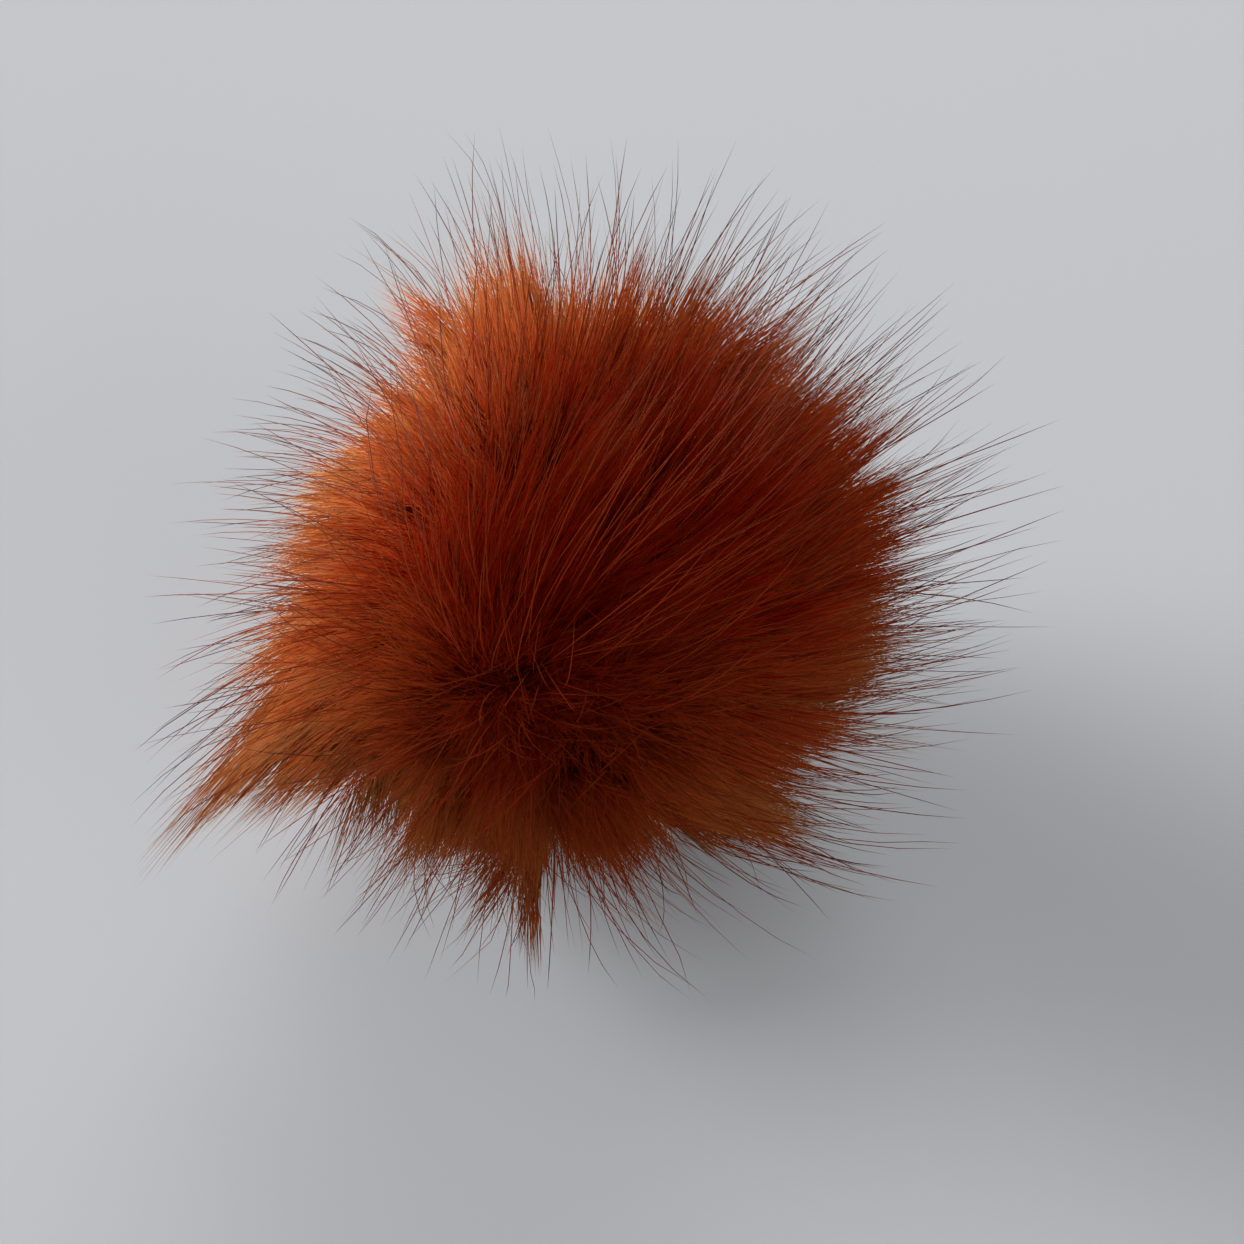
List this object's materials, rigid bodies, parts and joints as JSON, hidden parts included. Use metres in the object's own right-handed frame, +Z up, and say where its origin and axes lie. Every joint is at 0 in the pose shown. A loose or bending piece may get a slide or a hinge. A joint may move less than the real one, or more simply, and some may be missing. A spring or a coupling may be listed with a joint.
{
  "type": "faux-fur pom pom",
  "caption": "Round long-pile faux-fur ball, rust orange with dark-tipped guard hairs, lying on a small pressed-flat underside; a soft trimming for hats, keys and bags.",
  "frame": {"origin": "middle of the flat spot that the ball rests on, on the surface", "axes": "+Z up, -Y towards the front, from which the nap's whorl shows; the nap leans up and back"},
  "size_m": [0.1357, 0.132, 0.1095],
  "materials": {
    "fur": "long fluffy pile, soft sheen, guard hairs with dark brown tips"
  },
  "bodies": {
    "root": {"fur_ball": "fur"}
  },
  "joints": []
}
